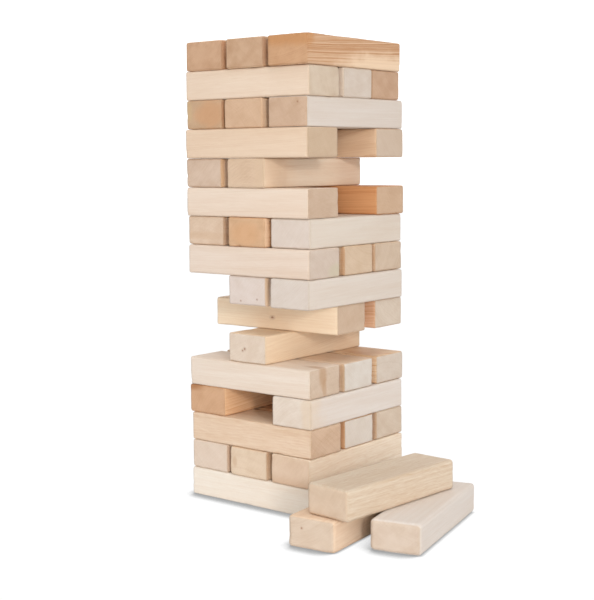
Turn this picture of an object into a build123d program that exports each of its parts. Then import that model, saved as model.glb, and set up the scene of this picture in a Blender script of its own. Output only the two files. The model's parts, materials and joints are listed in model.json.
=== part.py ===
from build123d import *
import os

# Giant tumbling tower, part-way through a game: 43 separate solid blocks of
# one section, 40 in the tower and three lying beside it on the +X side.
#
# Frame: millimetres, +Z up, origin at the centre of the tower's footprint on
# the ground.  Odd levels run along X and are named front (-Y), middle,
# back (+Y).  Even levels run along Y and are named left (-X), middle,
# right (+X).

# ---- driving dimensions ----
BLOCK_LENGTH = 190.0        # also the nominal side of the tower
BLOCK_WIDTH = 58.7
BLOCK_HEIGHT = 35.0
TOWER_EDGE_RADIUS = 2.5     # rounding of all twelve edges
LOOSE_EDGE_RADIUS = 4.5     # the loose blocks are rounder
SEAT_GAP = 0.05             # clearance between one level and the next

LEVEL_PITCH = BLOCK_HEIGHT + SEAT_GAP
ALONG_Y = 90.0              # turn that lays a block's length along Y, degrees

# ---- where every block lies ----
# Tower blocks: level, place, across, along, yaw
#   across  centre of the block across its own length, in block lengths
#           (+Y on an odd level, +X on an even level)
#   along   shift along its own length, in millimetres
#           (+X on an odd level, -Y on an even level)
#   yaw     small turn about Z, in degrees, counter-clockwise from above
TOWER_BLOCKS = [
    (1, "front", -0.3450, 1.3, -0.10),
    (1, "middle", 0.0000, 0.0, 0.00),
    (1, "back", 0.3380, 0.0, 0.00),
    (2, "left", -0.3298, 0.0, -0.15),
    (2, "middle", 0.0010, 1.3, 0.45),
    (2, "right", 0.3561, 1.8, -0.80),
    (3, "front", -0.3433, 2.1, -0.30),
    (3, "middle", 0.0115, 1.1, -0.30),
    (3, "back", 0.3475, 0.8, 0.60),
    (4, "left", -0.3558, -1.1, 0.25),
    (4, "right", 0.3576, 1.1, 0.35),
    (5, "front", -0.3424, 0.1, 0.20),
    (5, "middle", 0.0006, 1.5, 0.05),
    (5, "back", 0.3599, 0.4, 0.20),
    (6, "middle", -0.0036, -1.3, -0.50),
    (7, "middle", -0.0710, -0.2, 1.15),
    (7, "back", 0.3463, -0.4, 0.45),
    (8, "middle", 0.0011, -0.4, 0.15),
    (8, "right", 0.3627, 3.6, -0.10),
    (9, "front", -0.3537, 2.1, 0.10),
    (9, "middle", 0.0112, 0.5, 0.05),
    (9, "back", 0.3477, -0.3, -0.05),
    (10, "left", -0.3441, -1.2, -0.05),
    (10, "middle", 0.0061, 1.3, 0.55),
    (10, "right", 0.3405, -1.9, 0.90),
    (11, "front", -0.3446, -0.9, 0.30),
    (11, "back", 0.3744, -0.5, -0.30),
    (12, "left", -0.3493, -0.7, -0.65),
    (12, "middle", 0.0121, 1.2, -0.70),
    (13, "front", -0.3558, 0.3, 0.25),
    (13, "back", 0.3597, -0.1, 0.35),
    (14, "left", -0.3459, -0.8, 0.30),
    (14, "middle", -0.0196, -0.7, 0.10),
    (14, "right", 0.3432, -1.1, -0.50),
    (15, "front", -0.3372, -0.3, 0.75),
    (15, "middle", 0.0100, -0.6, 0.60),
    (15, "back", 0.3315, -2.8, 0.40),
    (16, "left", -0.3403, 0.0, 0.45),
    (16, "middle", 0.0074, 1.1, 0.05),
    (16, "right", 0.3454, 2.1, 0.80),
]

# Loose blocks, their length near Y: name, x, y, height of the underside,
# yaw from Y.  The lower two lie on the ground and carry the upper one.
LOOSE_BLOCKS = [
    ("loose_lower_left_block", 159.2, -93.2, 0.0, 5.6),
    ("loose_lower_right_block", 225.2, -50.4, 0.0, 13.4),
    ("loose_upper_block", 190.0, -82.6, LEVEL_PITCH, -4.4),
]


def make_block(edge_radius):
    """A block with its length along X, centred on Z, its underside at z = 0."""
    with BuildPart() as block:
        Box(BLOCK_LENGTH, BLOCK_WIDTH, BLOCK_HEIGHT,
            align=(Align.CENTER, Align.CENTER, Align.MIN))
        fillet(block.edges(), edge_radius)
    return block.part


def tower_location(level, across, along, yaw):
    """Where the centre of a tower block's underside lies, and its turn."""
    offset = across * BLOCK_LENGTH
    z = (level - 1) * LEVEL_PITCH
    if level % 2:
        return Location((along, offset, z), (0, 0, yaw))
    return Location((offset, -along, z), (0, 0, ALONG_Y + yaw))


os.makedirs("parts", exist_ok=True)

tower_block = make_block(TOWER_EDGE_RADIUS)
for level, place, across, along, yaw in TOWER_BLOCKS:
    location = tower_location(level, across, along, yaw)
    export_step(tower_block.moved(location), f"parts/level_{level:02d}_{place}_block.step")

loose_block = make_block(LOOSE_EDGE_RADIUS)
for name, x, y, z, yaw in LOOSE_BLOCKS:
    location = Location((x, y, z), (0, 0, ALONG_Y + yaw))
    export_step(loose_block.moved(location), f"parts/{name}.step")
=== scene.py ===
# Giant tumbling tower: a stack of softwood blocks with three loose ones, on white paper.
# The scene is in metres, +Z up, with the tower about the Z axis on a floor at z = 0.
# Each block has axes of its own, in millimetres from its middle: x along its length,
# y across, z up.  Its mesh is a fine grid over a cuboid with eased edges, dents and
# ring relief, and its material is solid wood cut by that mesh.
import json
import math
from collections import namedtuple

import bpy
import numpy as np
from mathutils import Matrix, Vector


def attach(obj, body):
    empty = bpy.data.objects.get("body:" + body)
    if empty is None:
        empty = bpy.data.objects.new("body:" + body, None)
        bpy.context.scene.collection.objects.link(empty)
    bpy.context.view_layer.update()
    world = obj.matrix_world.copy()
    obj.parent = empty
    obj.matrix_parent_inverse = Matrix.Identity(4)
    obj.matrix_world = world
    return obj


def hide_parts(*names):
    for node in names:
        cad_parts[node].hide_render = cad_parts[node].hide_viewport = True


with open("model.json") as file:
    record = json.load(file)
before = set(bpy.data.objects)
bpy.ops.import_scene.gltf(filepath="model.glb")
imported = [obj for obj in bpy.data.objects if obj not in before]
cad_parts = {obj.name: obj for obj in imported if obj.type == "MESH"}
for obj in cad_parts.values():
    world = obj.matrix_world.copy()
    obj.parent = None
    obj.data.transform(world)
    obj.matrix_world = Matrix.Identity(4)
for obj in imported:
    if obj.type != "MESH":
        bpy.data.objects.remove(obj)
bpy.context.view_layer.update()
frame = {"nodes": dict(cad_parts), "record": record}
scene = bpy.context.scene

MM = 0.001

# ------------------------------------------------------------------ looks
# face, end: display colours (0-255) of the long faces and of the sawn ends
# ring, end_ring: growth-ring contrast on the faces and on the ends
# spacing: ring spacing, mm; pith: (y, z) of the log's pith at x = 0, mm
# drift: how far the pith moves in y and z per mm of length
Look = namedtuple("Look", "face end ring end_ring spacing pith drift")
LOOKS = {
    "level_01_front": ((241, 229, 214), (212, 192, 170), 0.08, 0.30, 3.1, (-30, -95), (0.02, 0.05)),
    "level_01_middle": ((226, 208, 190), (216, 198, 180), 0.25, 0.30, 3.6, (70, 40), (0.03, -0.02)),
    "level_01_back": ((230, 212, 190), (210, 188, 162), 0.30, 0.35, 3.3, (15, 80), (-0.03, 0.04)),
    "level_02_left": ((230, 210, 190), (226, 206, 188), 0.18, 0.22, 3.0, (-60, 70), (0.02, 0.02)),
    "level_02_middle": ((226, 200, 172), (226, 203, 178), 0.32, 0.28, 3.4, (20, -75), (0.05, 0.03)),
    "level_02_right": ((236, 218, 196), (223, 196, 171), 0.16, 0.22, 3.6, (60, 90), (0.01, 0.04)),
    "level_03_front": ((231, 205, 179), (211, 182, 156), 0.24, 0.30, 2.9, (24, -62), (0.03, 0.09)),
    "level_03_middle": ((214, 168, 128), (219, 208, 196), 0.20, 0.25, 3.2, (-50, 80), (0.02, 0.03)),
    "level_03_back": ((226, 205, 182), (211, 192, 172), 0.30, 0.32, 3.5, (40, 60), (0.04, 0.02)),
    "level_04_left": ((239, 195, 153), (209, 167, 132), 0.45, 0.30, 4.0, (-26, -20), (0.04, 0.05)),
    "level_04_right": ((223, 212, 202), (226, 211, 196), 0.08, 0.24, 3.4, (-18, -34), (0.02, 0.02)),
    "level_05_front": ((232, 216, 200), (206, 184, 163), 0.08, 0.22, 3.2, (20, -100), (0.02, 0.04)),
    "level_05_middle": ((224, 200, 176), (215, 205, 194), 0.14, 0.16, 3.0, (50, 90), (0.02, 0.02)),
    "level_05_back": ((232, 204, 172), (209, 194, 179), 0.85, 0.25, 3.8, (-12, -70), (0.06, 0.03)),
    "level_06_middle": ((233, 208, 178), (224, 206, 188), 0.16, 0.24, 3.3, (46, 38), (0.05, 0.05)),
    # level_07_middle's face colour is painted paler, against the shade that level 8 casts on it
    "level_07_middle": ((250, 226, 197), (200, 174, 150), 0.14, 0.20, 3.4, (34, -66), (0.07, 0.06)),
    "level_07_back": ((228, 187, 156), (209, 192, 174), 0.50, 0.30, 3.6, (30, 50), (0.05, 0.04)),
    "level_08_middle": ((226, 210, 198), (220, 205, 195), 0.10, 0.16, 3.0, (-40, 95), (0.02, 0.02)),
    "level_08_right": ((215, 203, 191), (216, 203, 192), 0.07, 0.16, 3.1, (60, 90), (0.02, 0.03)),
    "level_09_front": ((228, 209, 192), (202, 184, 169), 0.09, 0.16, 3.0, (-44, -52), (0.02, 0.04)),
    "level_09_middle": ((226, 200, 170), (205, 180, 154), 0.30, 0.30, 3.5, (26, 60), (0.03, 0.05)),
    "level_09_back": ((226, 202, 176), (201, 179, 157), 0.30, 0.30, 3.2, (-60, 30), (0.04, 0.02)),
    "level_10_left": ((226, 202, 176), (217, 191, 167), 0.30, 0.30, 3.6, (18, -58), (0.05, 0.04)),
    "level_10_middle": ((222, 178, 138), (209, 170, 134), 0.40, 0.12, 4.2, (-10, -48), (0.06, 0.04)),
    "level_10_right": ((213, 199, 184), (216, 201, 189), 0.06, 0.16, 3.0, (-70, 80), (0.02, 0.02)),
    "level_11_front": ((230, 210, 191), (195, 169, 146), 0.10, 0.20, 3.2, (10, -90), (0.02, 0.05)),
    "level_11_back": ((214, 156, 108), (197, 166, 138), 0.50, 0.22, 4.2, (-24, -58), (0.05, 0.04)),
    "level_12_left": ((226, 200, 176), (210, 185, 164), 0.26, 0.26, 3.2, (48, 62), (0.03, 0.03)),
    "level_12_middle": ((233, 212, 188), (214, 186, 159), 0.16, 0.24, 3.5, (4, -40), (0.05, 0.07)),
    "level_13_front": ((227, 202, 177), (195, 170, 144), 0.14, 0.28, 3.0, (-40, 76), (0.03, 0.05)),
    "level_13_back": ((225, 191, 158), (198, 177, 157), 0.40, 0.28, 3.4, (50, 50), (0.05, 0.03)),
    "level_14_left": ((224, 190, 156), (196, 164, 133), 0.34, 0.20, 3.6, (-5, 4), (0.05, 0.04)),
    "level_14_middle": ((224, 194, 164), (208, 174, 144), 0.28, 0.24, 3.2, (60, -50), (0.03, 0.04)),
    "level_14_right": ((210, 198, 187), (201, 170, 144), 0.06, 0.24, 3.1, (-66, 60), (0.02, 0.02)),
    "level_15_front": ((227, 205, 183), (201, 182, 161), 0.09, 0.20, 3.0, (36, 96), (0.02, 0.04)),
    "level_15_middle": ((228, 212, 196), (204, 189, 175), 0.14, 0.16, 3.3, (-30, 90), (0.02, 0.02)),
    "level_15_back": ((220, 186, 156), (190, 156, 129), 0.34, 0.26, 3.2, (60, 60), (0.05, 0.03)),
    "level_16_left": ((222, 184, 150), (197, 159, 128), 0.34, 0.22, 3.6, (56, 40), (0.04, 0.05)),
    "level_16_middle": ((224, 192, 160), (196, 161, 131), 0.30, 0.22, 3.3, (-44, 60), (0.05, 0.04)),
    "level_16_right": ((208, 172, 140), (199, 156, 120), 1.25, 0.34, 3.5, (22, 88), (0.02, 0.03)),
    "loose_upper": ((217, 199, 177), (217, 193, 169), 0.20, 0.20, 3.4, (48, -64), (0.07, 0.05)),
    "loose_lower_left": ((232, 205, 178), (215, 194, 173), 0.20, 0.24, 3.6, (30, 60), (0.05, 0.05)),
    "loose_lower_right": ((223, 212, 202), (209, 190, 172), 0.07, 0.14, 3.2, (-36, 70), (0.02, 0.02)),
}

# Blocks that depart from the usual amounts.
USUAL_CLOUD, USUAL_FLECK, USUAL_SAW, USUAL_FADE = 0.6, 0.10, 0.30, 0.0
CLOUD = {  # cloudiness of the ends
    "level_02_left": 0.35, "level_03_middle": 0.4, "level_08_middle": 0.45,
    "level_08_right": 0.3, "level_09_front": 0.7, "level_10_left": 0.8,
    "level_10_middle": 0.9, "level_10_right": 0.4, "level_12_left": 0.8,
    "level_13_front": 0.4, "level_13_back": 0.3, "level_14_middle": 0.7,
    "level_14_right": 1.0, "level_15_front": 0.9, "level_15_back": 1.0,
    "level_16_left": 1.2, "level_16_middle": 1.3, "level_16_right": 0.9,
    "loose_lower_right": 0.8,
}
FLECK = {  # torn-grain flecks on the faces
    "level_02_right": 0.30, "level_03_front": 0.30, "level_04_right": 0.05,
    "level_08_right": 0.04, "level_10_right": 0.04, "level_11_front": 0.08,
    "level_14_right": 0.04, "level_16_right": 0.16, "loose_upper": 0.42,
    "loose_lower_right": 0.04,
}
SAW = {"level_03_front": 0.9, "level_05_front": 0.5, "level_12_middle": 0.5}  # scratched ends
FADE = {"level_16_right": 0.35}  # rings fading towards the underside

# Small knots: x, y, z, radius, and the axis each runs along.
KNOTS = {
    "level_06_middle": [(-95.0, 7.0, -3.0, 1.0, "x"), (-95.0, 3.6, -0.6, 1.2, "x")],
    "level_07_middle": [(-4, -29, -2.5, 1.3, "y")],
    "level_08_middle": [(-95.0, 10.0, -12.5, 0.7, "x"), (-95.0, -15.5, -9.5, 0.8, "x")],
    "level_14_right": [(-95.0, -15, 11, 0.8, "x")],
    "loose_lower_left": [(-95.0, 11.6, 5.2, 0.9, "x")],
}

# Coloured patches, mostly the wood's own and a few painted shade: middle, radii (0 runs right
# through), display colour, amount.
PATCHES = {
    "level_02_middle": [((-95, 22, 0), (30, 3.5, 7), (206, 172, 138), 0.5)],
    "level_02_right": [((-95, -29, -26), (70, 0, 16), (205, 160, 122), 0.35)],
    "level_04_left": [((-95, 26, 18), (60, 19, 8), (176, 122, 80), 0.85)],
    "level_04_right": [((-95, -24, 0), (30, 9, 30), (226, 203, 176), 0.5)],
    "level_05_front": [((95, -4.5, 9), (30, 7.5, 15), (184, 146, 112), 0.62),
                       ((95, -1.5, -7), (30, 4, 12), (186, 148, 114), 0.5)],
    "level_09_front": [((95, 22, -10), (30, 15, 9), (196, 186, 158), 0.55)],
    "level_10_left": [((-95, 0, -6), (30, 0, 4.5), (208, 174, 142), 0.35)],
    "level_10_middle": [((-95, 2, -2), (30, 22, 14), (216, 162, 116), 0.35)],
    # painted shade on the left part of the side, which the overhang above leaves in light
    "level_12_middle": [((-90, -29.35, 0), (34, 14, 0), (216, 188, 159), 0.62)],
    "level_14_left": [((-95, -9.5, 0), (60, 24, 17), (206, 150, 106), 0.50),
                      ((-95, 27, 6), (30, 7, 14), (206, 178, 132), 0.4)],
    "level_16_right": [((-95, 0, 18), (14, 0, 13), (190, 132, 78), 0.60),
                       ((58, -29, -23), (92, 12, 22), (240, 214, 184), 0.66)],
}

# Painted shade and warm bounce light on the upright arris beside a narrow gap, on the -y side: block,
# x of the end, colour, amount.
PAINTED_GAP_SHADE = [
    ("level_16_left", -95, (158, 108, 74), 0.60), ("level_16_middle", -95, (150, 100, 66), 0.60),
    ("level_15_middle", 95, (196, 172, 146), 0.40), ("level_15_back", 95, (172, 132, 100), 0.35),
    ("level_14_left", -95, (150, 102, 66), 0.60), ("level_14_middle", -95, (214, 176, 142), 0.50),
    ("level_12_left", -95, (206, 160, 112), 0.65), ("level_10_left", -95, (158, 112, 74), 0.50),
    ("level_10_middle", -95, (236, 204, 174), 0.50), ("level_09_middle", 95, (188, 134, 88), 0.60),
    ("level_09_back", 95, (190, 140, 98), 0.50), ("level_08_middle", -95, (220, 180, 134), 0.60),
    ("level_05_middle", 95, (180, 138, 94), 0.50), ("level_03_back", 95, (190, 146, 106), 0.50),
    ("level_02_left", -95, (182, 140, 104), 0.45), ("level_02_middle", -95, (176, 130, 92), 0.45),
]
for block, end_x, colour, amount in PAINTED_GAP_SHADE:
    patch = ((end_x, -29.6, 0), (7, 1.8, 0), colour, amount)
    PATCHES.setdefault(block, []).append(patch)

KNOT_SLOTS = ("Knot A", "Knot B")
PATCH_SLOTS = ("Patch A", "Patch B", "Patch C")
KNOT_COLOUR = (150, 98, 66)
LOOSE_EDGE, STACKED_EDGE = 4.5, 2.5  # nominal radius of the eased edges, mm
PAINTED_SHADE_LOOSE, PAINTED_SHADE_STACKED = 0.5, 1.0  # how much painted shade darkens the arrises, against the light their rounding catches


def is_loose(block):
    return block.startswith("loose_")


def linear(colour):
    """0-255 display colour to linear."""
    parts = [value / 255.0 for value in colour]
    return tuple(v / 12.92 if v <= 0.04045 else ((v + 0.055) / 1.055) ** 2.4 for v in parts)


# ------------------------------------------------------------------ node writing
class NodeWriter:
    """Adds nodes to a tree, so that a material reads as arithmetic on sockets."""

    def __init__(self, tree):
        self.tree = tree

    def node(self, kind, **props):
        node = self.tree.nodes.new(kind)
        for name, value in props.items():
            setattr(node, name, value)
        return node

    def feed(self, socket, value):
        """Link another socket into this one, or set its value."""
        if isinstance(value, bpy.types.NodeSocket):
            self.tree.links.new(value, socket)
        else:
            socket.default_value = value

    def math(self, op, a, b=0.0, c=0.0, clamp=False):
        node = self.node("ShaderNodeMath", operation=op, use_clamp=clamp)
        for socket, value in zip(node.inputs, (a, b, c)):
            self.feed(socket, value)
        return node.outputs[0]

    def add(self, a, b, clamp=False):
        return self.math("ADD", a, b, clamp=clamp)

    def sub(self, a, b, clamp=False):
        return self.math("SUBTRACT", a, b, clamp=clamp)

    def mul(self, a, b):
        return self.math("MULTIPLY", a, b)

    def mul_add(self, a, factor, plus):
        return self.math("MULTIPLY_ADD", a, factor, plus)

    def inverse(self, a):
        return self.sub(1.0, a)

    def swing(self, a, amount):
        """A 0-1 value swung about zero, by half the amount each way."""
        return self.mul(self.sub(a, 0.5), amount)

    def vector(self, op, a, b=(0, 0, 0)):
        node = self.node("ShaderNodeVectorMath", operation=op)
        self.feed(node.inputs[0], a)
        if op != "LENGTH":
            self.feed(node.inputs[1], b)
        return node.outputs["Value" if op in ("LENGTH", "DOT_PRODUCT") else "Vector"]

    def split(self, a):
        node = self.node("ShaderNodeSeparateXYZ")
        self.feed(node.inputs[0], a)
        return node.outputs

    def combine(self, x, y, z):
        node = self.node("ShaderNodeCombineXYZ")
        for socket, value in zip(node.inputs, (x, y, z)):
            self.feed(socket, value)
        return node.outputs[0]

    def step(self, a, low, high):
        """A smooth step from 0 at low to 1 at high."""
        node = self.node("ShaderNodeMapRange", interpolation_type="SMOOTHSTEP", clamp=True)
        self.feed(node.inputs["Value"], a)
        self.feed(node.inputs["From Min"], low)
        self.feed(node.inputs["From Max"], high)
        return node.outputs["Result"]

    def mix_color(self, factor, a, b, blend="MIX"):
        node = self.node("ShaderNodeMix", data_type="RGBA", blend_type=blend, clamp_factor=True)
        self.feed(node.inputs[0], factor)
        for socket, value in ((node.inputs[6], a), (node.inputs[7], b)):
            is_socket = isinstance(value, bpy.types.NodeSocket)
            self.feed(socket, value if is_socket else (*value, 1.0))
        return node.outputs[2]

    def tinted(self, color, factor, tint):
        """The colour multiplied by a tint, as far as the factor says."""
        return self.mix_color(factor, color, self.mix_color(1.0, color, tint, blend="MULTIPLY"))

    def mix(self, factor, a, b):
        node = self.node("ShaderNodeMix", data_type="FLOAT", clamp_factor=True)
        for socket, value in ((node.inputs[0], factor), (node.inputs[2], a), (node.inputs[3], b)):
            self.feed(socket, value)
        return node.outputs[0]

    def noise(self, place, scale=1.0, detail=2.0, rough=0.5):
        node = self.node("ShaderNodeTexNoise", noise_dimensions="3D")
        self.feed(node.inputs["Vector"], place)
        node.inputs["Scale"].default_value = scale
        node.inputs["Detail"].default_value = detail
        node.inputs["Roughness"].default_value = rough
        return node.outputs["Fac"]

    def attribute(self, name, output):
        node = self.node("ShaderNodeAttribute", attribute_type="GEOMETRY", attribute_name=name)
        return node.outputs[output]


# ------------------------------------------------------------------ wood
WOOD_COLOURS = ("Side Light", "Side Dark", "End Light", "End Dark",
                *(slot + " Color" for slot in PATCH_SLOTS))
WOOD_FLOATS = {
    "Spacing": 3.3, "Ring": 0.3, "End Ring": 0.3, "Fade": 0.0, "Saw": 0.4, "Saw Angle": 0.6,
    "Cloud": 0.6, "Streak": 0.3, "Blotch": 0.3, "Fleck": 0.15, "Edge Painted Shade": 1.0,
    **{slot + " Amount": 0.0 for slot in PATCH_SLOTS},
}
WOOD_VECTORS = ("Seed", *(slot + part for slot in KNOT_SLOTS + PATCH_SLOTS
                          for part in ("", " Size")))
FADE_REACH = 17.5  # mm above and below the middle over which rings fade


class Softwood(NodeWriter):
    """Solid softwood, in the block's own millimetres."""

    def __init__(self, tree):
        super().__init__(tree)
        self.inputs = self.node("NodeGroupInput").outputs
        self.place = self.attribute("wood", "Vector")
        self.facing = self.attribute("facing", "Vector")
        self.ring = self.attribute("ring", "Fac")
        self.edge = self.attribute("edge", "Fac")
        self.seeded = self.vector("ADD", self.place, self.inputs["Seed"])
        self.is_end = self.step(self.math("ABSOLUTE", self.split(self.facing)[0]),
                                low=0.62, high=0.86)
        self.late = self.latewood()
        self.fine = self.grain(stretch=(0.035, 1.6, 1.6), detail=3.0, rough=0.6)
        self.pores = self.grain(stretch=(0.3, 1.1, 1.1), detail=4.0, rough=0.65)
        self.cloud = self.grain(stretch=(0.05, 0.055, 0.07))
        self.scratch = self.saw_scratches()
        rub = self.grain(stretch=(0.05, 0.12, 0.12), detail=3.0)
        self.worn = self.mul(self.edge, self.step(rub, low=0.35, high=0.65))

    def grain(self, stretch, detail=2.0, rough=0.5, at=None):
        """Noise whose frequency per mm along, across and up is the stretch."""
        place = self.vector("MULTIPLY", at or self.seeded, stretch)
        return self.noise(place, detail=detail, rough=rough)

    def latewood(self):
        """Growth rings: slow earlywood, a dark latewood line, then an abrupt start."""
        wander = self.grain(stretch=(0.010, 0.16, 0.16))
        radius = self.add(self.ring, self.swing(wander, amount=1.1))
        # years of wide and narrow rings
        years = self.node("ShaderNodeTexNoise", noise_dimensions="1D")
        self.feed(years.inputs["W"], self.mul(radius, 0.085))
        radius = self.add(radius, self.swing(years.outputs["Fac"], amount=9.0))
        count = self.math("DIVIDE", radius, self.inputs["Spacing"])
        whole = self.math("FLOOR", count)
        part = self.sub(count, whole)
        chance = self.node("ShaderNodeTexWhiteNoise", noise_dimensions="1D")
        self.feed(chance.inputs["W"], self.add(whole, self.split(self.inputs["Seed"])[0]))
        strength = self.mul_add(chance.outputs["Value"], factor=0.75, plus=0.35)
        line = self.mul(self.step(part, low=0.18, high=0.86),
                        self.inverse(self.step(part, low=0.90, high=1.0)))
        return self.mul(line, strength)

    def torn_grain(self):
        """Short, slightly wandering flecks, paler and darker than the face."""
        sway = self.grain(stretch=(0.022, 0.02, 0.02), detail=1.0)
        lift = self.swing(sway, amount=9.0)
        bent = self.vector("ADD", self.seeded, self.combine(0.0, lift, lift))
        torn = self.grain(stretch=(0.050, 0.55, 0.55), rough=0.6, at=bent)
        return self.sub(self.step(torn, low=0.53, high=0.66),
                        self.inverse(self.step(torn, low=0.34, high=0.47)))

    def face_color(self):
        """Rings and fibres along the length."""
        inputs = self.inputs
        streaks = self.grain(stretch=(0.012, 0.30, 0.30))
        blotches = self.grain(stretch=(0.006, 0.035, 0.05))
        canals = self.grain(stretch=(0.16, 2.6, 2.6), detail=1.0)
        canals = self.step(canals, low=0.66, high=0.74)
        height = self.mul(self.split(self.place)[2], 1.0 / FADE_REACH)
        fade = self.math("MINIMUM", self.mul_add(height, inputs["Fade"], 1.0), 1.0)
        dark = self.mul(self.mul(self.late, inputs["Ring"]), self.math("MAXIMUM", fade, 0.0))
        dark = self.add(dark, self.swing(self.fine, inputs["Streak"]))
        dark = self.add(dark, self.swing(streaks, inputs["Streak"]))
        dark = self.add(dark, self.swing(blotches, inputs["Blotch"]))
        dark = self.add(dark, self.mul(canals, 0.10))
        dark = self.sub(dark, self.mul(self.torn_grain(), inputs["Fleck"]))
        # the base tone, raised to leave room for the pale flecks
        base = self.mul_add(inputs["Fleck"], factor=0.35, plus=0.10)
        dark = self.add(dark, base, clamp=True)
        return self.mix_color(dark, inputs["Side Light"], inputs["Side Dark"])

    def saw_scratches(self):
        """Noise drawn out into lines at the saw's angle."""
        _, y, z = self.split(self.place)
        cosine = self.math("COSINE", self.inputs["Saw Angle"])
        sine = self.math("SINE", self.inputs["Saw Angle"])
        across = self.add(self.mul(y, cosine), self.mul(z, sine))
        along = self.sub(self.mul(z, cosine), self.mul(y, sine))
        drawn = self.combine(self.mul(across, 0.95), self.mul(along, 0.035), 0.0)
        return self.noise(self.vector("ADD", drawn, self.inputs["Seed"]), rough=0.6)

    def end_color(self):
        """Sawn ends: arcs of the same rings, pores, and the saw's scratches."""
        inputs = self.inputs
        dark = self.mul(self.late, inputs["End Ring"])
        dark = self.add(dark, self.swing(self.scratch, inputs["Saw"]))
        dark = self.add(dark, self.swing(self.pores, amount=0.35))
        dark = self.add(dark, self.swing(self.cloud, inputs["Cloud"]))
        base = 0.14
        dark = self.add(dark, base, clamp=True)
        return self.mix_color(dark, inputs["End Light"], inputs["End Dark"])

    def distance(self, slot):
        """Distance from a knot or patch, in its own radii."""
        offset = self.vector("SUBTRACT", self.place, self.inputs[slot])
        return self.vector("LENGTH", self.vector("MULTIPLY", offset, self.inputs[slot + " Size"]))

    def with_patches(self, color):
        """Heartwood, resin and sapwood patches with soft borders, and patches of painted shade and
        bounce light.
        """
        for slot in PATCH_SLOTS:
            reach = self.add(self.distance(slot), self.swing(self.cloud, amount=0.9))
            inside = self.inverse(self.step(reach, low=0.55, high=1.35))
            cover = self.mul(inside, self.inputs[slot + " Amount"])
            color = self.mix_color(cover, color, self.inputs[slot + " Color"])
        return color

    def with_knots(self, color):
        knots = []
        for slot in KNOT_SLOTS:
            reach = self.add(self.distance(slot), self.swing(self.pores, amount=0.5))
            body = self.inverse(self.step(reach, low=0.75, high=1.15))
            halo = self.mul(self.inverse(self.step(reach, low=1.0, high=3.2)), 0.35)
            knots.append(self.math("MAXIMUM", body, halo))
        cover = self.mul(self.math("MAXIMUM", *knots), 0.80)
        return self.mix_color(cover, color, linear(KNOT_COLOUR))

    def with_edges(self, color):
        """Arrises darkened by painted shade against the light their rounding catches, rubbed paler by
        handling, with soiled nicks.
        """
        arris_shade = self.inputs["Edge Painted Shade"]
        facing_x, facing_y, _ = self.split(self.facing)
        upright = self.math("MINIMUM", self.math("ABSOLUTE", facing_x),
                            self.math("ABSOLUTE", facing_y))
        # 1.414 brings a 45 degree arris to 1; the power broadens it
        upright = self.math("POWER", self.mul(upright, 1.414), 0.7)
        # painted shade on the upright arrises, which would catch the key light
        color = self.tinted(color, self.mul(upright, arris_shade), tint=(0.78, 0.76, 0.73))
        # painted shade, more lightly, on the level arrises
        level = self.mul(self.sub(self.edge, self.mul(upright, 0.9), clamp=True),
                         self.mul(arris_shade, 0.55))
        color = self.tinted(color, level, tint=(0.80, 0.77, 0.73))
        color = self.tinted(color, self.mul(self.worn, 0.30), tint=(1.05, 1.04, 1.02))
        soil = self.grain(stretch=(0.11, 0.35, 0.35), detail=3.0, rough=0.65)
        soiled = self.mul(self.edge, self.step(soil, low=0.60, high=0.72))
        return self.tinted(color, self.mul(soiled, 0.28), tint=(0.72, 0.60, 0.50))

    def roughness(self):
        """Ends rougher than faces; latewood and worn edges smoother."""
        rough = self.mix(self.is_end, self.mul_add(self.fine, factor=0.22, plus=0.46),
                         self.mul_add(self.pores, factor=0.20, plus=0.64))
        rough = self.sub(rough, self.mul(self.late, 0.05))
        return self.sub(rough, self.mul(self.worn, 0.08))

    def height(self):
        """Fine relief for the bump, mm."""
        face = self.add(self.mul(self.late, 0.05), self.mul(self.fine, 0.06))
        end = self.add(self.mul(self.late, 0.06), self.mul(self.pores, 0.12))
        saw_depth = self.mul(self.inputs["Saw"], 0.30)
        end = self.add(end, self.mul(self.scratch, saw_depth))
        return self.mix(self.is_end, face, end)


def wood_group():
    tree = bpy.data.node_groups.new("softwood", "ShaderNodeTree")

    def socket(name, kind, in_out="INPUT"):
        return tree.interface.new_socket(name=name, in_out=in_out, socket_type="NodeSocket" + kind)

    for name in WOOD_COLOURS:
        socket(name, "Color")
    for name, default in WOOD_FLOATS.items():
        socket(name, "Float").default_value = default
    for name in WOOD_VECTORS:
        socket(name, "Vector")
    for name, kind in (("Color", "Color"), ("Roughness", "Float"), ("Height", "Float")):
        socket(name, kind, in_out="OUTPUT")

    wood = Softwood(tree)
    color = wood.mix_color(wood.is_end, wood.face_color(), wood.end_color())
    color = wood.with_edges(wood.with_knots(wood.with_patches(color)))
    outputs = wood.node("NodeGroupOutput").inputs
    wood.feed(outputs["Color"], color)
    wood.feed(outputs["Roughness"], wood.roughness())
    wood.feed(outputs["Height"], wood.height())
    return tree


softwood = wood_group()


def shade(colour, factors):
    """A linear colour scaled per channel and kept within reach, with alpha."""
    return (*(min(0.98, max(0.002, v * k)) for v, k in zip(colour, factors)), 1)


def knot_values(block):
    values = {}
    for slot, (x, y, z, radius, axis) in zip(KNOT_SLOTS, KNOTS.get(block, [])):
        size = [1.0 / radius] * 3
        size["xyz".index(axis)] = 0.03
        if axis != "x":
            size[0] = 0.62 / radius
        values[slot] = (x, y, z)
        values[slot + " Size"] = size
    return values


def patch_values(block):
    values = {}
    for slot, (middle, radii, colour, amount) in zip(PATCH_SLOTS, PATCHES.get(block, [])):
        values[slot] = middle
        values[slot + " Size"] = tuple(1.0 / v if v else 0.0 for v in radii)
        values[slot + " Color"] = (*linear(colour), 1)
        values[slot + " Amount"] = amount
    return values


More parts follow.
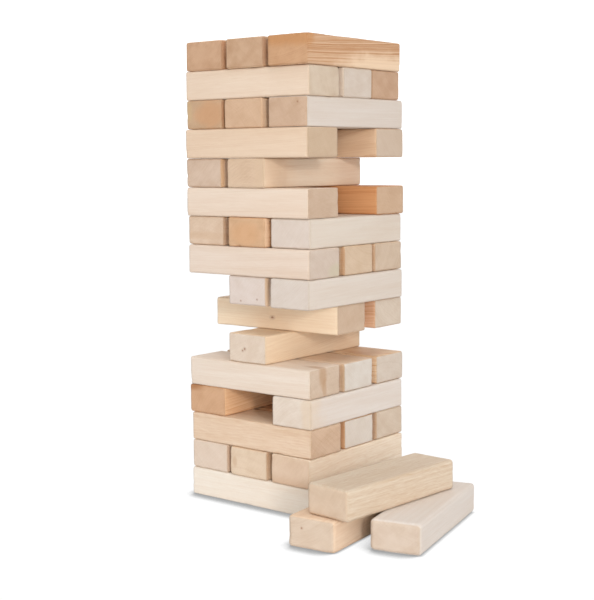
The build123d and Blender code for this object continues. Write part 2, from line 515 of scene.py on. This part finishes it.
def wood_material(block, look, rng):
    material = bpy.data.materials.new("wood_" + block)
    material.use_nodes = True
    nodes = NodeWriter(material.node_tree)
    bsdf = next(n for n in material.node_tree.nodes if n.type == "BSDF_PRINCIPLED")
    group = nodes.node("ShaderNodeGroup", node_tree=softwood)
    face, end = linear(look.face), linear(look.end)
    # latewood is a redder, darker version of the block's own colour
    values = {
        "Side Light": shade(face, (1.04, 1.06, 1.08)),
        "Side Dark": shade(face, (0.76, 0.58, 0.42)),
        "End Light": shade(end, (1.06, 1.08, 1.10)),
        "End Dark": shade(end, (0.74, 0.62, 0.50)),
        "Spacing": look.spacing,
        "Ring": look.ring,
        "End Ring": look.end_ring * 0.5,
        "Cloud": CLOUD.get(block, USUAL_CLOUD),
        "Fleck": 0.45 * FLECK.get(block, USUAL_FLECK),
        # painted shade on the arrises, less of it on the rounder loose blocks
        "Edge Painted Shade": PAINTED_SHADE_LOOSE if is_loose(block) else PAINTED_SHADE_STACKED,
        "Fade": FADE.get(block, USUAL_FADE),
        "Saw": SAW.get(block, USUAL_SAW),
        "Saw Angle": float(rng.uniform(0.3, 1.2)),
        "Streak": 0.22 + 0.35 * look.ring,
        "Blotch": 0.45,
        "Seed": tuple(float(v) for v in rng.uniform(20, 900, 3)),
    }
    # knots and patches that are not used lie far above the block
    for slot in KNOT_SLOTS + PATCH_SLOTS:
        values[slot] = (0, 0, 900)
        values[slot + " Size"] = (1, 1, 1)
    values.update(knot_values(block))
    values.update(patch_values(block))
    for name, value in values.items():
        group.inputs[name].default_value = value
    bump = nodes.node("ShaderNodeBump")
    bump.inputs["Strength"].default_value = 1.0
    bump.inputs["Distance"].default_value = MM
    nodes.feed(bump.inputs["Height"], group.outputs["Height"])
    nodes.feed(bsdf.inputs["Normal"], bump.outputs["Normal"])
    nodes.feed(bsdf.inputs["Base Color"], group.outputs["Color"])
    nodes.feed(bsdf.inputs["Roughness"], group.outputs["Roughness"])
    bsdf.inputs["Specular IOR Level"].default_value = 0.25
    return material


# ------------------------------------------------------------------ blocks
GRID_STEPS = (3.0, 1.3, 1.25)  # grid spacing along, across and up, mm
EDGE_REACH = 1.3  # the finer grid near an edge, in edge radii


def lie(node):
    """Middle of a block's underside, the turn of its length about Z, and its size."""
    points = np.array([v.co for v in frame["nodes"][node].data.vertices], float)
    flat = points[:, :2]
    extent = flat.max(0) - flat.min(0)

    def turned(angle):
        c, s = math.cos(angle), math.sin(angle)
        return flat @ np.array([c, s]), flat @ np.array([-s, c])

    def area(angle):
        along, across = turned(angle)
        return np.ptp(along) * np.ptp(across)

    # the turn with the smallest rectangle round the block, by ever finer search
    best = 0.0 if extent[0] > extent[1] else math.pi / 2
    span = math.radians(25)
    for _ in range(9):
        best = min(best + np.linspace(-span, span, 21), key=area)
        span /= 6
    along, across = turned(best)
    mid_along = (along.min() + along.max()) / 2
    mid_across = (across.min() + across.max()) / 2
    c, s = math.cos(best), math.sin(best)
    base = (c * mid_along - s * mid_across, s * mid_along + c * mid_across, points[:, 2].min())
    return base, best, (np.ptp(along), np.ptp(across), np.ptp(points[:, 2]))


class Waves:
    """A smooth, seeded unevenness in space: a sum of sine waves, about -1 to 1."""

    def __init__(self, rng, lengths, count=7):
        turns = np.array([[rng.normal() / length for length in lengths] for _ in range(count)])
        self.frequency = turns * 2 * math.pi
        self.phase = rng.uniform(0, 2 * math.pi, count)
        self.weight = rng.uniform(0.5, 1.0, count)
        self.weight /= self.weight.sum()

    def __call__(self, points):
        return (np.sin(points @ self.frequency.T + self.phase) * self.weight).sum(1) * 1.6


def grid_lines(half, step, reach):
    """Grid places from -half to half: even inside, by equal angles near the edges."""
    inner = half - reach
    arc = inner + reach * np.tan(np.linspace(0, math.pi / 4, 5)[1:])
    count = max(2, round(2 * inner / step))
    return np.concatenate([-arc[::-1], np.linspace(-inner, inner, count + 1), arc])


def lattice(dims, reach):
    """Points and quads of the surface of a cuboid grid, millimetres, centred."""
    axes = [grid_lines(dim / 2, step, reach) for dim, step in zip(dims, GRID_STEPS)]
    shape = tuple(len(axis) for axis in axes)
    shell = np.zeros(shape, bool)
    shell[[0, -1]] = True
    shell[:, [0, -1]] = True
    shell[:, :, [0, -1]] = True
    ids = -np.ones(shape, int)
    ids[shell] = np.arange(shell.sum())
    points = np.stack([grid[shell] for grid in np.meshgrid(*axes, indexing="ij")], 1)
    quads = []
    for sheet, flip in ((ids[:, :, -1], False), (ids[:, :, 0], True),
                        (ids[:, 0, :], False), (ids[:, -1, :], True),
                        (ids[-1, :, :], False), (ids[0, :, :], True)):
        corners = (sheet[:-1, :-1], sheet[1:, :-1], sheet[1:, 1:], sheet[:-1, 1:])
        quad = np.stack(corners, -1).reshape(-1, 4)
        quads.append(quad[:, ::-1] if flip else quad)
    return points, np.concatenate(quads)


lattices = {}  # blocks of one size share a lattice


def eased_cuboid(points, half, eased, rng):
    """Unevenly eased edges: points, normals, and how near each is to an edge (0-1)."""
    uneven = Waves(rng, (55, 30, 30))
    radius = eased * rng.uniform(0.88, 1.08) * (1 + 0.14 * uneven(points))
    inner = half[None, :] - radius[:, None]
    core = np.clip(points, -inner, inner)
    offset = points - core
    normals = offset / np.maximum(np.linalg.norm(offset, axis=1, keepdims=True), 1e-9)
    edge = np.clip((1 - np.abs(normals).max(1)) / (1 - 0.7072), 0, 1)
    return core + normals * radius[:, None], normals, edge


def ring_radius(points, look, knots, rng):
    """Distance from the pith through the solid, bent round the knots."""
    bend = Waves(rng, (420, 90, 90))
    ripple = Waves(rng, (150, 26, 26))
    pith_y, pith_z = look.pith
    drift_y, drift_z = look.drift
    ring = np.hypot(points[:, 1] - pith_y - drift_y * points[:, 0],
                    points[:, 2] - pith_z - drift_z * points[:, 0])
    ring = ring + 1.6 * bend(points) + 0.35 * ripple(points)
    for x, y, z, radius, axis in knots:
        offset = points - np.array([x, y, z])
        across = [a for a in range(3) if a != "xyz".index(axis)]
        dist = np.sqrt(sum((offset[:, a] * (0.6 if a == 0 else 1.0)) ** 2 for a in across))
        ring = ring + 1.6 * radius * np.exp(-(dist / (3.0 * radius)) ** 2)
    return ring


def relief(points, normals, ring, look, saw, rng):
    """Depth below the surface: low earlywood, slow unevenness, scored sawn ends."""
    turns = ring / look.spacing
    late = 0.5 - 0.5 * np.cos(2 * math.pi * (turns - np.floor(turns)) ** 1.6)
    slow = Waves(rng, (90, 35, 35))
    face = 0.05 + 0.05 * slow(points) + 0.07 * (1 - late) * (0.4 + look.ring)
    angle = rng.uniform(0.3, 1.2)
    across = points[:, 1] * math.cos(angle) + points[:, 2] * math.sin(angle)
    teeth = Waves(rng, (400, 9, 9), 9)
    tooth_pitch = 4.6
    score = 0.5 + 0.5 * np.sin(across * 2 * math.pi / tooth_pitch + 1.4 * teeth(points))
    end = 0.06 + 0.16 * score * (0.4 + saw) + 0.05 * (1 - late) + 0.05 * slow(points)
    return np.clip(np.where(np.abs(normals[:, 0]) > 0.72, end, face), 0.0, 0.45)


def pressed(points, at, size, inward, depth):
    """Push the points near a place inwards, by a soft bell of the given size."""
    weight = np.exp(-(((points - at) / size) ** 2).sum(1))
    return points + inward[None, :] * (depth * weight)[:, None]


def knocked(points, half, rng):
    # dents and nicks on the edges
    for _ in range(int(rng.integers(9, 15))):
        run = int(rng.integers(0, 3)) if rng.random() < 0.6 else 0
        at = half * rng.choice([-1.0, 1.0], 3)
        at[run] = rng.uniform(-1, 1) * half[run]
        inward = np.clip(at, -(half - 2.5), half - 2.5) - at
        inward[run] = 0
        inward /= np.linalg.norm(inward)
        size = np.array([rng.uniform(1.5, 3.0)] * 3)
        size[run] = rng.uniform(3.2, 8.0) if run == 0 else rng.uniform(1.8, 4.5)
        points = pressed(points, at + inward * 1.0, size, inward, depth=rng.uniform(0.15, 0.65))
    # bruised corners
    for _ in range(2):
        at = half * rng.choice([-1.0, 1.0], 3)
        inward = -np.sign(at) / math.sqrt(3)
        size = rng.uniform(3.0, 4.6)
        points = pressed(points, at, size, inward, depth=rng.uniform(0.2, 0.65))
    # shallow knocks on the long faces
    for _ in range(int(rng.integers(3, 6))):
        axis = int(rng.integers(1, 3))
        at = rng.uniform(-0.85, 0.85, 3) * half
        at[axis] = half[axis] * rng.choice([-1.0, 1.0])
        size = np.array([rng.uniform(3.5, 7.0), 2.4, 2.4])
        inward = np.zeros(3)
        inward[axis] = -np.sign(at[axis])
        points = pressed(points, at, size, inward, depth=rng.uniform(0.10, 0.30))
    return points


def block_surface(block, dims, look, rng):
    eased = LOOSE_EDGE if is_loose(block) else STACKED_EDGE
    key = (*dims, eased)
    if key not in lattices:
        lattices[key] = lattice(dims, eased * EDGE_REACH)
    points, quads = lattices[key]
    half = np.array(dims) / 2
    points, normals, edge = eased_cuboid(points, half, eased, rng)
    ring = ring_radius(points, look, KNOTS.get(block, []), rng)
    sunk = relief(points, normals, ring, look, SAW.get(block, USUAL_SAW), rng)
    points = points - normals * sunk[:, None] * (1 - edge)[:, None]
    return knocked(points, half, rng), quads, normals, ring, edge


def build(node):
    block = node[: -len("_block")]
    look = Look(*LOOKS[block])
    rng = np.random.default_rng(sum((i + 3) * ord(letter) for i, letter in enumerate(block)))
    (x, y, z), turn, size = lie(node)
    dims = [round(float(length) / MM, 2) for length in size]
    points, quads, normals, ring, edge = block_surface(block, dims, look, rng)
    c, s = math.cos(turn), math.sin(turn)
    placed = np.empty_like(points)
    placed[:, 0] = x + (c * points[:, 0] - s * points[:, 1]) * MM
    placed[:, 1] = y + (s * points[:, 0] + c * points[:, 1]) * MM
    placed[:, 2] = z + (points[:, 2] + dims[2] / 2) * MM
    mesh = bpy.data.meshes.new(block + "_wood")
    mesh.from_pydata(placed.tolist(), [], quads.tolist())
    mesh.update()
    for name, kind, field, data in (("wood", "FLOAT_VECTOR", "vector", points),
                                    ("facing", "FLOAT_VECTOR", "vector", normals),
                                    ("ring", "FLOAT", "value", ring),
                                    ("edge", "FLOAT", "value", edge)):
        attribute = mesh.attributes.new(name, kind, "POINT")
        attribute.data.foreach_set(field, np.ascontiguousarray(data, np.float32).ravel())
    mesh.shade_smooth()
    mesh.materials.append(wood_material(block, look, rng))
    return add_object(block + "_wood", mesh)


def add_object(name, data):
    item = bpy.data.objects.new(name, data)
    scene.collection.objects.link(item)
    return item


bodies = frame["record"]["behaviour"]["bodies"]
node_body = {node: body for body, members in bodies.items() for node in members}
for node in sorted(frame["nodes"]):
    piece = build(node)
    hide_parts(node)
    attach(piece, node_body[node])

# ------------------------------------------------------------------ floor
FLOOR_HALF = 9.0
FLOOR_Z = -0.0002
FLOOR_CELLS = 24  # along each side


def paper_material():
    """White paper; the camera sees it as an even white glow with a painted contact shadow."""
    material = bpy.data.materials.new("studio_paper")
    material.use_nodes = True
    material.node_tree.nodes.clear()
    nodes = NodeWriter(material.node_tree)
    output = nodes.node("ShaderNodeOutputMaterial")
    paper = nodes.node("ShaderNodeBsdfDiffuse")
    glow = nodes.node("ShaderNodeEmission")
    join = nodes.node("ShaderNodeMixShader")
    light_path = nodes.node("ShaderNodeLightPath")
    place = nodes.node("ShaderNodeNewGeometry").outputs["Position"]
    fibre = nodes.noise(place, scale=900.0)
    nodes.feed(paper.inputs["Color"], nodes.mul_add(fibre, factor=0.02, plus=0.79))

    # a painted shadow from nearness: deep from blocks on the side the normal leans to, and a thin
    # line all round
    near = nodes.node("ShaderNodeAmbientOcclusion", samples=16)
    near.inputs["Distance"].default_value = 0.025
    nodes.feed(near.inputs["Normal"], nodes.combine(x=0.36, y=0.72, z=0.59))
    touch = nodes.node("ShaderNodeAmbientOcclusion", samples=12)
    touch.inputs["Distance"].default_value = 0.004
    # 0.27 is the cover the leaning normal has on bare floor
    covered = nodes.sub(nodes.inverse(near.outputs["AO"]), 0.27)
    covered = nodes.math("MAXIMUM", covered, 0.0)
    deep = nodes.sub(1.03, nodes.mul(covered, 1.95))
    thin = nodes.math("POWER", nodes.mul(touch.outputs["AO"], 1.06), 0.6)
    darkest = 0.38
    strength = nodes.math("MAXIMUM", nodes.math("MINIMUM", deep, thin), darkest)
    nodes.feed(glow.inputs["Strength"], strength)
    nodes.feed(join.inputs[0], light_path.outputs["Is Camera Ray"])
    nodes.feed(join.inputs[1], paper.outputs[0])
    nodes.feed(join.inputs[2], glow.outputs[0])
    nodes.feed(output.inputs["Surface"], join.outputs[0])
    return material


def build_floor():
    mesh = bpy.data.meshes.new("studio_floor")
    row = FLOOR_CELLS + 1
    ticks = [-FLOOR_HALF + 2 * FLOOR_HALF * i / FLOOR_CELLS for i in range(row)]
    starts = [j * row + i for j in range(FLOOR_CELLS) for i in range(FLOOR_CELLS)]
    cells = [(k, k + 1, k + row + 1, k + row) for k in starts]
    mesh.from_pydata([(x, y, FLOOR_Z) for y in ticks for x in ticks], [], cells)
    floor = add_object("studio_floor", mesh)
    mesh.materials.append(paper_material())
    return floor


build_floor()


# ------------------------------------------------------------------ light
AIM = (0.0, 0.0, 0.28)  # what the softboxes point at


def direction(azimuth, elevation):
    """Unit vector; azimuth in degrees from -Y towards +X, elevation above the floor."""
    a, e = math.radians(azimuth), math.radians(elevation)
    return (math.sin(a) * math.cos(e), -math.cos(a) * math.cos(e), math.sin(e))


def studio_world():
    """Pale walls on two sides; the camera sees plain white."""
    world = bpy.data.worlds.new("studio")
    scene.world = world
    world.use_nodes = True
    world.node_tree.nodes.clear()
    nodes = NodeWriter(world.node_tree)
    output = nodes.node("ShaderNodeOutputWorld")
    background = nodes.node("ShaderNodeBackground")
    light_path = nodes.node("ShaderNodeLightPath")
    view = nodes.node("ShaderNodeTexCoord").outputs["Generated"]

    def lobe(azimuth, elevation, power, strength):
        """A broad, soft source; a higher power makes it narrower."""
        toward = nodes.vector("DOT_PRODUCT", view, direction(azimuth, elevation))
        toward = nodes.math("MAXIMUM", toward, 0.0)
        return nodes.mul(nodes.math("POWER", toward, power), strength)

    walls = nodes.add(lobe(azimuth=46, elevation=22, power=1.6, strength=0.60),
                      lobe(azimuth=226, elevation=24, power=2.0, strength=0.72))
    ambient, white = 0.34, 1.30
    room = nodes.add(walls, ambient)
    seen = nodes.mix(light_path.outputs["Is Camera Ray"], room, white)
    nodes.feed(background.inputs["Strength"], seen)
    background.inputs["Color"].default_value = (1.0, 1.0, 1.0, 1)
    nodes.feed(output.inputs["Surface"], background.outputs[0])


def softbox(name, azimuth, elevation, distance, size, power):
    light = bpy.data.lights.new(name, "AREA")
    light.shape = "RECTANGLE"
    light.size, light.size_y = size
    light.energy = power
    box = add_object(name, light)
    x, y, z = direction(azimuth, elevation)
    at = (x * distance, y * distance, AIM[2] + z * distance)
    box.location = at
    box.rotation_mode = "QUATERNION"
    box.rotation_quaternion = (Vector(AIM) - Vector(at)).to_track_quat("-Z", "Y")


studio_world()
softbox("key_softbox", azimuth=44, elevation=6, distance=3.2, size=(1.6, 1.0), power=18.0)
softbox("window_softbox", azimuth=54, elevation=13, distance=3.0, size=(0.32, 0.32), power=21.0)
softbox("top_softbox", azimuth=43, elevation=58, distance=2.6, size=(1.8, 1.8), power=17.0)

# ------------------------------------------------------------------ camera
CAMERA_AZIMUTH, CAMERA_ELEVATION, CAMERA_ROLL = 38.772, 6.426, -0.403  # degrees
CAMERA_DISTANCE = 1.564555
CAMERA_SHIFT = 0.000912  # to the camera's right
TARGET_HEIGHT = 0.243162
LENS_MM, SENSOR_MM = 74.706, 36


def add_camera():
    azimuth, roll = math.radians(CAMERA_AZIMUTH), math.radians(CAMERA_ROLL)
    back = Vector(direction(CAMERA_AZIMUTH, CAMERA_ELEVATION))
    right = Vector((math.cos(azimuth), math.sin(azimuth), 0))
    up = right.cross(-back)
    place = Vector((0, 0, TARGET_HEIGHT)) + right * CAMERA_SHIFT + back * CAMERA_DISTANCE
    rolled_right = right * math.cos(roll) + up * math.sin(roll)
    rolled_up = -right * math.sin(roll) + up * math.cos(roll)
    data = bpy.data.cameras.new("camera")
    data.sensor_width = SENSOR_MM
    data.lens = LENS_MM
    data.clip_start, data.clip_end = 0.05, 60
    camera = add_object("camera", data)
    camera.matrix_world = Matrix([*zip(rolled_right, rolled_up, back, place), (0, 0, 0, 1)])
    scene.camera = camera


add_camera()

scene.view_settings.view_transform = "Standard"
scene.view_settings.look = "None"
scene.view_settings.exposure = 0.0
scene.view_settings.gamma = 1.0
